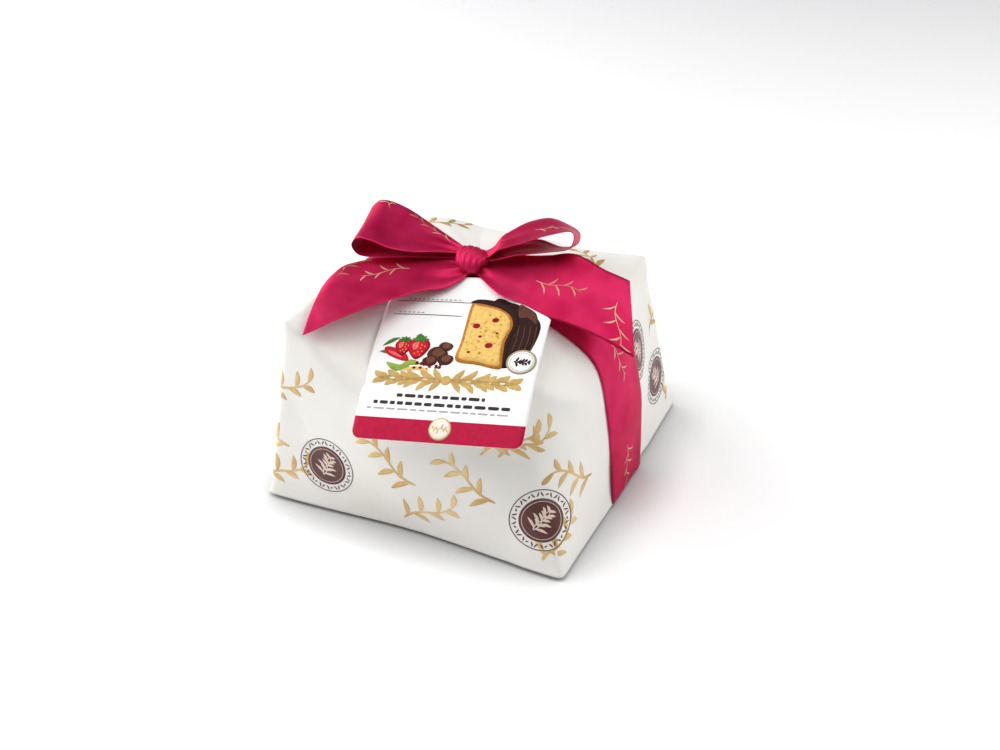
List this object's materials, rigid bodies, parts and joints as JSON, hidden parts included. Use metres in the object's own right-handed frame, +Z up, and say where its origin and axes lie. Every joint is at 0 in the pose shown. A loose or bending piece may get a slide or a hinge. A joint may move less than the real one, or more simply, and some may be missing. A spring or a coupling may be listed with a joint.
{
  "type": "wrapped panettone",
  "caption": "Tall panettone in its baking case on a square board, wrapped in folded gift paper and tied with a satin ribbon bow that holds a card tag.",
  "frame": {"origin": "on the ground under the middle of the whole object's box", "axes": "+Z up, the front with the tag faces -Y, the ribbon band runs along X"},
  "size_m": [0.2382, 0.235, 0.1923],
  "materials": {
    "wrapping_paper": "smooth ivory paper with metallic gold brush marks and brown round seals",
    "ribbon_satin": "raspberry satin ribbon with small gold marks",
    "tag_card": null,
    "loaf_crust": "baked golden brown crust",
    "baking_paper": "brown fluted baking paper",
    "clear_film": "clear crinkled food film",
    "tie_wire": "gold coated twist tie",
    "board_card": "gold faced cake card"
  },
  "bodies": {
    "root": {"wrapper": "wrapping_paper", "ribbon_band": "ribbon_satin", "ribbon_knot": "ribbon_satin", "ribbon_loop_left": "ribbon_satin", "ribbon_loop_right": "ribbon_satin", "ribbon_tail_left": "ribbon_satin", "ribbon_tail_right": "ribbon_satin", "hang_tag": "tag_card", "panettone_loaf": "loaf_crust", "baking_case": "baking_paper", "inner_bag": "clear_film", "bag_tie": "tie_wire", "cake_board": "board_card"}
  },
  "joints": []
}
